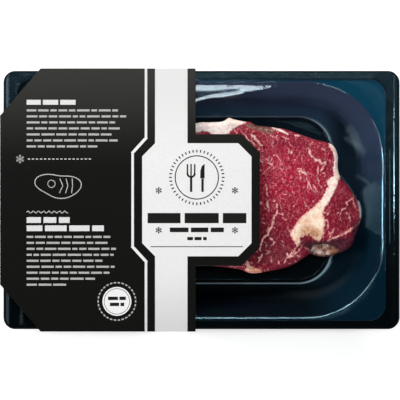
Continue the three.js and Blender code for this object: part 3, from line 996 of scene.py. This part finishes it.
def softStroke(places, path, width, blur):
    # 1 within the stroke, 0 outside it, with a blurred edge
    return np.clip(0.5 + (width / 2 - distanceToPath(places, path)[0]) / blur, 0, 1)


def drapeOverSteak(points):
    # lifts the points onto the steak; gives the steak's share of each, and how far inside its outline it is
    d = film["drape"]
    top, inset = steakSurface(points[:, :2])
    drape = top + film["overSteak"] + d["clear"] - np.clip(d["edge"] - inset, 0, None) * d["steepness"]
    drape[inset < d["reach"]] = 0
    seat = points[:, 2].copy()
    share = np.clip(0.5 + 0.5 * (drape - seat) / d["hollow"], 0, 1)
    points[:, 2] = seat * (1 - share) + drape * share + d["hollow"] * share * (1 - share)
    return share, inset


def strandsAt(x, y):
    # for each strand along the back wall, 1 on it and 0 off it, with a blurred edge
    paintedStrands = []
    for places, highs, lows in film["paintedStrands"]:
        high, low = np.interp(x, places, highs), np.interp(x, places, lows)
        within = np.clip(0.5 + np.minimum(high - y, y - low) / film["strandBlur"], 0, 1)
        paintedStrands.append(within * ((x > places[0]) & (x < places[-1])))
    return np.array(paintedStrands)


def sheenByPlace(x, y, zone):
    # how much of its sheen the film keeps at each place, which paints highlights and shade by place
    lip, left, front, back = (film[key] for key in ("rightLip", "leftEnd", "frontFade", "backFade"))
    glow = lip["least"] + lip["more"] * bell(y, lip["y"], lip["spread"])
    share = np.where((zone < lip["zone"]) & (x > lip["x"]), glow, 1)
    share *= np.where((zone < left["zone"]) & (x < left["x"]), left["share"], 1)
    flangeOrWall = (zone < 1.6) | ((zone > 3.8) & (zone < 5.8))
    share *= np.where(flangeOrWall, np.interp(y, front["y"], front["share"]), 1)
    onRim = (zone > 2) & (zone < 4)
    return share * np.where(onRim, np.interp(y, back["y"], back["share"]), 1)


def paintedHighlightAt(flat, zone, onSteak):
    # how strongly the painted whitish highlight shows at each place
    x, y = flat.T
    c = film["crease"]
    atCorner = c["corner"] * bell(x, c["cornerX"], c["cornerSpread"])
    strength = np.where(y < 0, c["front"], c["back"]) + atCorner
    strength *= np.clip((c["endX"] - x) / c["endFade"], 0, 1)
    crease = bell(zone, c["zone"], c["half"]) * strength * (1 - onSteak)
    for width, strength, path in film["paintedHighlightStreaks"]:
        crease += softStroke(flat, path, width, 0.5 + width * 0.4) * strength
    return np.clip(crease, 0, 1)


def makeFilm():
    rings, zones = filmRings()
    per = rings.shape[1]
    pole = (tray["centreX"], 0, rings[0][0, 2])
    points = np.vstack([rings.reshape(-1, 3), [pole]])
    zone = np.append(np.repeat(zones, per), 8.5)
    flat = points[:, :2].copy()
    x, y = flat.T
    share, inset = drapeOverSteak(points)
    sheen = np.interp(zone, film["sheen"]["zone"], film["sheen"]["share"])
    bridged = np.zeros(len(flat), bool)
    for side, level in film["sheenOnBridge"].items():
        lift, here = bridgeLift(points, side)
        points[:, 2] += lift * (1 - share)
        sheen = np.where(here, level, sheen)
        bridged |= here
    paintedStrands = strandsAt(x, y)
    sheen = (sheen + paintedStrands.sum(0) * film["strandSheen"]) * sheenByPlace(x, y, zone)
    start, reach = film["nearSteak"]
    nearSteak = np.clip(1 + (inset + start) / reach, 0, 1)
    sheen = sheen * (1 - nearSteak) + film["sheenBySteak"] * nearSteak
    start, reach = film["ontoSteak"]
    onSteak = share * np.clip((inset + start) / reach, 0, 1)
    sheen = sheen * (1 - onSteak) + film["sheenOnSteak"] * onSteak
    for width, strength, path in film["paintedGleams"]:
        sheen += softStroke(flat, path, width, film["gleamBlur"]) * strength
    wall = np.interp(zone, film["wall"]["zone"], film["wall"]["share"]) * (1 - onSteak) * ~bridged
    marks = {
        "sheen": sheen,
        "wall": wall,
        "white": np.maximum(paintedStrands.max(0) * film["strandWhite"], onSteak),
        "crease": paintedHighlightAt(flat, zone, onSteak),
    }
    faces = ringFaces(len(rings), per, per * len(rings))
    return addPiece("skinFilm", points, faces, clearFilm(), marks=marks)


def clearFilm():
    look = Finish("clearFilm")
    ripple = look.noise(look.place(), 0.12, 2.0, 0.5)
    normal = look.bump(ripple, 0.0001)
    white = look.attribute("white")
    tint = look.blend(white, (0.5, 0.83, 1.0, 1), (0.95, 0.97, 1.0, 1))
    gloss = look.surface({
        "Base Color": tint,
        "Metallic": 1.0,
        "Roughness": look.attribute("wall") * 0.32 + 0.05,
        "Normal": normal,
    })
    clear = look.node("ShaderNodeBsdfTransparent", None, {"Color": (0.97, 0.98, 0.99, 1)})
    # the same share from above and from below, so that the lamps shine through it
    slant = look.node("ShaderNodeLayerWeight", None, {"Blend": 0.5, "Normal": normal}, out="Facing")
    share = (slant.maths("POWER", 5) * 0.95 + 0.045) * look.attribute("sheen")
    film = look.node("ShaderNodeMixShader", None, [share, clear, gloss])
    # a whitish layer mixed into the film where highlights are painted
    paintedHighlightLayer = look.surface({
        "Base Color": look.blend(white, (168, 205, 222), (252, 253, 255)),
        "Roughness": 0.35,
    })
    return look.done(look.node("ShaderNodeMixShader", None, [look.attribute("crease"), film, paintedHighlightLayer]))


# The card sleeve

card = {
    "thickness": 0.6,
    "top": 26.14,
    "left": -125.95,
    "right": -2.75,
    "halfWidth": 82.9,
    "taper": 3.9,
    "endTaper": 3.5,
    "cutX": -100.45,
    "cutEndHalf": 53.2,
    "flapRight": 37.75,
    "flapHalf": 41.5,
    "flapChamfer": 11.6,
    "fold": 0.6,
    "foot": 0.65,  # the bottom panel, which is bare of print, lies below this height
}


def makeSleeve():
    c = card
    upper = [
        (c["flapRight"], c["flapHalf"] - c["flapChamfer"]),
        (c["flapRight"] - c["flapChamfer"], c["flapHalf"]),
        (c["right"], c["flapHalf"]),
        (c["right"], c["halfWidth"]),
        (c["cutX"], c["halfWidth"]),
        (c["left"], c["cutEndHalf"]),
    ]
    lower = [
        (c["right"], c["halfWidth"] - c["taper"]),
        (c["cutX"], c["halfWidth"] - c["taper"]),
        (c["left"] + c["endTaper"], c["cutEndHalf"]),
    ]
    shape = bmesh.new()
    top = [shape.verts.new(Vector((x, y, c["top"])) * mm) for x, y in upper]
    top += [shape.verts.new(Vector((x, -y, c["top"])) * mm) for x, y in reversed(upper)]
    foot = [shape.verts.new(Vector((x, y, 0)) * mm) for x, y in lower]
    foot += [shape.verts.new(Vector((x, -y, 0)) * mm) for x, y in reversed(lower)]
    shape.faces.new(top)
    shape.faces.new(foot[::-1])
    shape.faces.new([top[4], top[3], foot[0], foot[1]])
    shape.faces.new([top[8], top[7], foot[4], foot[5]])
    shape.faces.new([top[6], top[5], foot[2], foot[3]])
    mesh = bpy.data.meshes.new("cardSleeve")
    shape.to_mesh(mesh)
    shape.free()
    piece = bpy.data.objects.new("cardSleeve", mesh)
    bpy.context.scene.collection.objects.link(piece)
    mesh.materials.append(printedCard())
    thick = piece.modifiers.new("board", "SOLIDIFY")
    thick.thickness = c["thickness"] * mm
    thick.offset = -1
    thick.use_even_offset = True
    folds = piece.modifiers.new("folds", "BEVEL")
    folds.width = c["fold"] * 0.4 * mm
    folds.segments = 4
    folds.limit_method = "ANGLE"
    folds.angle_limit = math.radians(40)
    return piece


# Places of the printed fields, in millimetres
printing = {
    "labelCentreY": 0.15,
    "labelLeft": -36.4,
    "labelRight": 32.4,
    "labelHalf": 35.6,
    "chamfer": 8.3,
    "stripeLeft": -28.3,
    "stripeRight": -7.9,
    "lineWidth": 1.6,
    "lineInner": -34.0,
    "lineOuter": -42.4,
    "lineBend": 9.3,
    "lineHalf": 38.9,
}


def printedCard():
    look = Finish("printedCard")
    x, y, z = look.axes(look.place())
    p = printing
    away = abs(y - p["labelCentreY"])
    # share of the way from the label's straight side to where its chamfer has ended
    turn = ((away - (p["labelHalf"] - p["chamfer"])) / p["chamfer"]).most(0).least(1)
    leftEdge = turn * (p["stripeLeft"] - p["labelLeft"]) + p["labelLeft"]
    rightEdge = turn * -p["chamfer"] + p["labelRight"]
    beyond = away > p["labelHalf"]
    rightEdge = rightEdge * (1 - beyond) + beyond * p["stripeRight"]
    white = (x > leftEdge) * (x < rightEdge)
    bend = ((away - (p["lineHalf"] - p["lineBend"])) / p["lineBend"]).most(0).least(1)
    lineMiddle = bend * (p["lineInner"] - p["lineOuter"]) + p["lineOuter"]
    sloping = (bend > 0.001) * (bend < 0.999)
    line = abs(x - lineMiddle) < (sloping * 0.28 + 0.5) * p["lineWidth"]
    printed = (white + line).least(1) * (z > card["foot"])
    fibre = look.noise(look.place(), 0.9, 4.0)
    ink = look.ramp(fibre, (0.35, (9, 9, 7)), (0.65, (13, 13, 11)))
    paper = look.ramp(fibre, (0.35, (222, 222, 221)), (0.65, (227, 227, 226)))
    # the ink is painted lighter towards the back fold, as a painted sheen, and the paper is painted greyer
    # towards the back fold and more so towards the front fold, as painted shade
    ink = look.blend(y.between(15, 92), ink, (50, 50, 47))
    paper = look.blend(y.between(25, 80), paper, (214, 214, 213))
    paper = look.blend(y.between(-88, -38), (203, 203, 202), paper)
    return look.done(look.surface({
        "Base Color": look.blend(printed, ink, paper),
        "Roughness": fibre * 0.05 + 0.28,
        "IOR": 1.45,
        "Specular IOR Level": 0.22,
        "Normal": look.bump(fibre, 0.00001),
    }))


def inkFinish(name, tone):
    # a thin printed layer, a little worn in its density
    look = Finish(name)
    grain = look.noise(look.place(), 1.6, 3.0)
    low, high = [tuple(max(level + change, 0) for level in tone) for change in (-9, 5)]
    return look.done(look.surface({
        "Base Color": look.ramp(grain, (0.35, low), (0.65, high)),
        "Roughness": grain * 0.05 + 0.3,
        "IOR": 1.45,
        "Specular IOR Level": 0.22,
    }))


def stroke(path, width):
    # one four-cornered shape for each stretch of the path
    shapes = []
    for a, b in zip(path, path[1:]):
        a, b = np.array(a, float), np.array(b, float)
        along = (b - a) / max(np.hypot(*(b - a)), 1e-6) * width / 2
        side = np.array([-along[1], along[0]])
        a, b = a - along * 0.3, b + along * 0.3
        shapes.append([a - side, b - side, b + side, a + side])
    return shapes


def bar(left, right, middle, height):
    low, high = middle - height / 2, middle + height / 2
    return [(left, low), (right, low), (right, high), (left, high)]


def arc(centre, radius, start=0.0, stop=360.0, count=64):
    angles = np.radians(np.linspace(start, stop, count))
    return [(centre[0] + radius * math.cos(a), centre[1] + radius * math.sin(a)) for a in angles]


def wordBars(draw, left, right, middle, height, words, gap):
    # a line of print as plain bars, one for each word
    shapes = []
    x = left
    while x < right - words[0] * 0.5:
        stop = min(x + draw.uniform(*words), right)
        shapes.append(bar(x, stop, middle, height))
        x = stop + gap
    return shapes


def snowflake(centre, radius, width):
    shapes = []
    for turn in range(6):
        a = math.radians(90 + 60 * turn)
        ray = np.array([math.cos(a), math.sin(a)])
        side = np.array([-ray[1], ray[0]])
        shapes += stroke([centre, centre + ray * radius], width)
        for share in (0.5, 0.8):
            root = centre + ray * radius * share
            reach = radius * 0.3
            left, right = [root + (ray + way) * reach * 0.7 for way in (side, -side)]
            shapes += stroke([left, root, right], width)
    return shapes


inkThickness = 0.03


def printInk(name, shapes, tone, layer=1):
    # flat printed shapes on the top panel, lifted by the thickness of the ink
    points, faces = [], []
    height = card["top"] + inkThickness * layer
    for shape in shapes:
        first = len(points)
        points += [(x, y, height) for x, y in shape]
        faces.append(tuple(range(first, len(points))))
    return addPiece(name, points, faces, inkFinish(name + "Finish", tone), smooth=False)


leftPrint = {
    "seed": 12,
    "margin": -109.1,
    "heading": {"right": -73.6, "middle": 61.5, "height": 3.1},
    "upperLines": {"top": 56.4, "pitch": 3.78, "rights": [-50.0, -46.5, -53.5, -48.6, -55.0, -51.8, -62.0]},
    "lowerLines": {
        "top": -23.2,
        "pitch": 3.76,
        "rights": [-55.0, -58.2, -52.9, -54.4, -60.5, -53.8, -57.0, -63.5, -82.0],
    },
    "lineHeight": 1.3,
    "words": (3.2, 8.4),
    "flake": (-113.3, 25.8),
    "dashes": {"count": 16, "pitch": 2.56, "length": 1.45, "width": 0.65, "start": -107.7},
    "picture": (-89.0, 9.0),
    "boldLines": [(-82.0, -12.6, 3.6), (-60.5, -17.8, 3.6)],
    "badge": (-52.3, -63.8),
    "badgeRadius": 9.1,
    "badgeMarks": {"count": 30, "radius": 11.8, "length": 0.85, "width": 1.5},
}


def leftPanelPrint():
    p = leftPrint
    draw = random.Random(p["seed"])
    head = p["heading"]
    bold = wordBars(draw, p["margin"], head["right"], head["middle"], head["height"], (7.0, 11.0), 1.3)
    for right, middle, height in p["boldLines"]:
        bold += wordBars(draw, p["margin"], right, middle, height, (8.0, 15.0), 1.6)
    small = []
    for group in (p["upperLines"], p["lowerLines"]):
        for i, right in enumerate(group["rights"]):
            middle = group["top"] - i * group["pitch"]
            small += wordBars(draw, p["margin"], right, middle, p["lineHeight"], p["words"], 1.1)
    # a plain cut of meat in outline, with a bone and a few dividing lines
    cx, cy = p["picture"]
    outline = []
    for a in np.linspace(0, 2 * math.pi, 49):
        reach = 1 + 0.16 * math.cos(a * 2 + 0.6) + 0.1 * math.sin(a * 3)
        outline.append((cx + 12.6 * reach * math.cos(a), cy + 8.2 * reach * math.sin(a)))
    lines = stroke(outline, 0.6)
    lines += stroke(arc((cx - 4.5, cy + 1.2), 2.3, count=25), 0.55)
    for dx, tilt in ((0.5, 2.2), (4.4, 1.4), (8.2, 0.6)):
        lines += stroke([(cx + dx, cy - 4.6), (cx + dx + tilt, cy), (cx + dx + 0.3, cy + 4.4)], 0.5)
    lines += snowflake(np.array(p["flake"]), 2.4, 0.5)
    wave = [(p["margin"] + 1.0 * i, -7.6 + 0.8 * math.sin(i * 1.9)) for i in range(27)]
    lines += stroke(wave, 0.55)
    badge = [arc(p["badge"], p["badgeRadius"], count=65)[:-1]]
    x, y = p["badge"]
    inside = wordBars(draw, x - 5.6, x + 5.6, y + 1.9, 2.1, (4.0, 7.0), 0.9)
    inside += wordBars(draw, x - 4.4, x + 4.6, y - 1.9, 2.1, (4.0, 7.0), 0.9)
    inside += stroke(arc(p["badge"], p["badgeRadius"] - 1.1), 0.3)
    return [
        printInk("printedBoldLines", bold, (214, 214, 213)),
        printInk("printedSmallLines", small, (172, 172, 170)),
        printInk("printedFigures", lines, (186, 186, 184)),
        printInk("printedBadge", badge, (232, 232, 231)),
        printInk("printedBadgeInk", inside, (26, 26, 24), layer=2),
    ]


labelPrint = {
    "seed": 5,
    "ring": (-2.0, 14.2),
    "ringRadius": 13.6,
    "ringMarks": {"count": 44, "radius": 16.6, "length": 1.7, "width": 0.75},
    # left, right, middle, height, shortest and longest word, gap
    "lines": [
        (-33.0, 29.2, -11.4, 6.4, (17.0, 23.0), 2.6),
        (-19.0, 15.0, -18.8, 2.9, (8.0, 12.0), 1.5),
        (-8.0, 4.2, -24.3, 2.0, (3.5, 5.5), 1.0),
    ],
}


def labelFieldPrint():
    p = labelPrint
    draw = random.Random(p["seed"])
    cx, cy = p["ring"]
    shapes = stroke(arc(p["ring"], p["ringRadius"], count=97), 0.65)
    # a fork and a knife side by side
    forkX, knifeX = cx - 3.6, cx + 3.6
    shapes += [bar(forkX - 0.75, forkX + 0.75, cy - 4.6, 9.0)]
    shapes += stroke(arc((forkX, cy + 2.6), 2.3, 180, 360, 17), 1.2)
    for dx in (-2.3, 0.0, 2.3):
        shapes += [bar(forkX + dx - 0.45, forkX + dx + 0.45, cy + 5.4, 6.0)]
    shapes += [bar(forkX - 0.45, forkX + 0.45, cy + 1.2, 3.0)]
    shapes += [bar(knifeX - 0.75, knifeX + 0.75, cy - 4.9, 8.4)]
    blade = [(-1.5, -0.6), (1.3, -0.6), (1.3, 8.6), (-0.4, 7.2), (-1.3, 4.6)]
    shapes += [[(knifeX + dx, cy + dy) for dx, dy in blade]]
    for line in p["lines"]:
        shapes += wordBars(draw, *line)
    for x in (-26.0, 22.0):
        shapes += snowflake(np.array([x, -19.0]), 1.9, 0.4)
        shapes += snowflake(np.array([x, 6.0]), 1.9, 0.4)
    shapes += stroke([(-31.0, -29.4), (27.0, -29.4)], 0.5)
    return [printInk("labelInk", shapes, (24, 24, 22))]


# Repeated marks, laid out by Geometry Nodes

def markRow(material):
    # bars of one size along a line
    kinds = {"Count": "Int", "Pitch": "Float", "Length": "Float", "Width": "Float", "Start": "Vector"}
    plan = Layout("markRow", kinds)
    plan.done(plan.row("X"), plan.plate(), material)
    return plan


def markRing(name, material):
    # bars round a ring, each turned to face its centre
    kinds = {"Count": "Int", "Radius": "Float", "Length": "Float", "Width": "Float", "Centre": "Vector"}
    plan = Layout(name, kinds)
    values = {"Vertices": plan.given("Count"), "Radius": plan.given("Radius")}
    ring = plan.node("GeometryNodeMeshCircle", None, values)
    place = {"Geometry": ring, "Translation": plan.given("Centre")}
    moved = plan.node("GeometryNodeTransform", None, place)
    turn = plan.node("GeometryNodeInputIndex") * (2 * math.pi) / plan.given("Count")
    turned = plan.node("ShaderNodeCombineXYZ", None, {"Z": turn})
    plan.done(moved, plan.plate(), material, {"Rotation": turned})
    return plan


def sealGrain(material):
    # one row of tiny domes pressed into the flange, of slightly uneven size
    kinds = {"Count": "Int", "Pitch": "Float", "Radius": "Float", "Start": "Vector", "Seed": "Int"}
    plan = Layout("sealGrain", kinds)
    dome = plan.node("GeometryNodeMeshIcoSphere", None, {"Radius": plan.given("Radius"), "Subdivisions": 2})
    # sockets 0 and 1 are the least and the greatest size
    limits = {0: seal["least"], 1: seal["greatest"], "Seed": plan.given("Seed")}
    size = plan.node("FunctionNodeRandomValue", {"data_type": "FLOAT_VECTOR"}, limits)
    plan.done(plan.row("Y"), dome, material, {"Scale": size})
    return plan


seal = {
    "count": 84,
    "pitch": 0.7,
    "radius": 0.32,
    "x": 119.6,
    "fromY": -26.5,
    "least": (0.5, 0.6, 0.35),
    "greatest": (1.1, 1.2, 0.6),
    "seed": 4,
}


def sizesOf(settings, start, startName="Start"):
    # the settings in metres under the names of the tree's inputs
    sizes = {"Count": settings["count"], startName: tuple(value * mm for value in start)}
    for key in ("pitch", "radius", "length", "width"):
        if key in settings:
            sizes[key.capitalize()] = settings[key] * mm
    return sizes


def repeatedMarks():
    inkTop = card["top"] + inkThickness
    row = leftPrint["dashes"]
    dashes = markRow(inkFinish("dashInk", (196, 196, 194)))
    sizes = sizesOf(row, (row["start"], leftPrint["flake"][1], inkTop))
    grown = [(dashes.grow("printedDashes", sizes), "card_sleeve")]
    rings = [
        ("badgeMarks", leftPrint["badgeMarks"], leftPrint["badge"], (170, 170, 168)),
        ("labelMarks", labelPrint["ringMarks"], labelPrint["ring"], (24, 24, 22)),
    ]
    for name, ring, centre, tone in rings:
        plan = markRing(name, inkFinish(name + "Ink", tone))
        grown.append((plan.grow(name, sizesOf(ring, (*centre, inkTop), "Centre")), "card_sleeve"))
    look = Finish("sealedFilm")
    grain = look.noise(look.place(), 1.5, 2.0)
    gloss = look.done(look.surface({
        "Base Color": look.ramp(grain, (0.3, (30, 62, 78)), (0.7, (70, 110, 128))),
        "Roughness": grain * 0.1 + 0.12,
        "IOR": 1.5,
    }))
    sizes = sizesOf(seal, (seal["x"], seal["fromY"], tray["flangeTop"] + film["overTray"]))
    sizes["Seed"] = seal["seed"]
    grown.append((sealGrain(gloss).grow("sealGrain", sizes), "skin_film"))
    return grown


# Camera, light and floor

studio = {
    "cameraHeight": 1.2,
    "lens": 171.6,
    "cloth": {"rise": (0.0, 0.13), "fall": (0.12, 0.2), "strength": 1.7, "elsewhere": 0.025},
    "panels": {
        # compass angle, angle from straight up, distance, width, height, brightness
        "back": (90, 60, 0.75, 0.85, 0.33, 6.2),
        "backLeft": (135, 60, 1.35, 0.8, 0.5, 4.2),
        "left": (181, 58, 1.35, 0.18, 0.5, 10.0),
        "leftSoft": (192, 58, 1.45, 0.9, 0.5, 2.6),
        "front": (258.7, 66.7, 1.39, 0.7, 0.5, 11.0),
        "right": (3, 45, 1.35, 0.13, 0.3, 14.0),
        "rightSoft": (14, 45, 1.4, 0.6, 0.3, 2.4),
    },
}


def makeStudio():
    scene = bpy.context.scene
    camera = bpy.data.cameras.new("camera")
    camera.lens = studio["lens"]
    camera.sensor_width = 36
    camera.clip_end = 20
    cameraObject = bpy.data.objects.new("camera", camera)
    cameraObject.location = (0, 0, studio["cameraHeight"] + card["top"] * mm)
    scene.collection.objects.link(cameraObject)
    scene.camera = cameraObject
    for name, (compass, tilt, distance, width, height, brightness) in studio["panels"].items():
        lamp = bpy.data.lights.new(name + "Panel", "AREA")
        lamp.shape = "RECTANGLE"
        lamp.size = width
        lamp.size_y = height
        lamp.energy = brightness * math.pi * width * height
        holder = bpy.data.objects.new(name + "Panel", lamp)
        turn, lean = math.radians(compass), math.radians(tilt)
        place = Vector((math.sin(lean) * math.cos(turn), math.sin(lean) * math.sin(turn), math.cos(lean)))
        holder.location = place * distance
        holder.rotation_euler = (-place).to_track_quat("-Z", "Y").to_euler()
        scene.collection.objects.link(holder)
    world = bpy.data.worlds.new("studio")
    world.use_nodes = True
    sky = Recipe(world.node_tree)
    _, across, _ = sky.axes(sky.node("ShaderNodeTexCoord", out="Generated"))
    # a soft cloth that hangs from overhead towards the back of the table
    cloth = studio["cloth"]
    shape = across.between(*cloth["rise"]) * (1 - across.between(*cloth["fall"]))
    strength = shape * cloth["strength"] + cloth["elsewhere"]
    background = world.node_tree.nodes["Background"]
    background.inputs["Color"].default_value = (0.95, 0.98, 1.0, 1)
    world.node_tree.links.new(strength.socket, background.inputs["Strength"])
    scene.world = world
    scene.view_settings.view_transform = "Standard"
    look = Finish("whiteFloor")
    speckle = look.noise(look.place(), 0.01, 2.0)
    colour = look.ramp(speckle, (0.3, (0.95, 0.95, 0.95, 1)), (0.7, (0.97, 0.97, 0.97, 1)))
    white = look.surface({
        "Base Color": colour,
        "Roughness": 0.9,
        "Emission Color": (1, 1, 1, 1),
        "Emission Strength": 0.35,
    })
    half = 3000
    corners = [(-half, -half, -0.3), (half, -half, -0.3), (half, half, -0.3), (-half, half, -0.3)]
    addPiece("floor", corners, [(0, 1, 2, 3)], look.done(white), smooth=False)


makeStudio()
print("studio ready")
pieces = [
    (makeTray(), "tray", "tray_plastic"),
    (makeSteak(), "steak", "raw_meat"),
    (makeFilm(), "skin_film", "clear_film"),
    (makeSleeve(), "card_sleeve", "printed_card"),
]
for piece, node, slot in pieces:
    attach(piece, "root")
    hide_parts(node)
    print("made", piece.name)

details = [(piece, "card_sleeve") for piece in leftPanelPrint() + labelFieldPrint()] + repeatedMarks()
for piece, node in details:
    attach(piece, "root")
    print("made", piece.name)
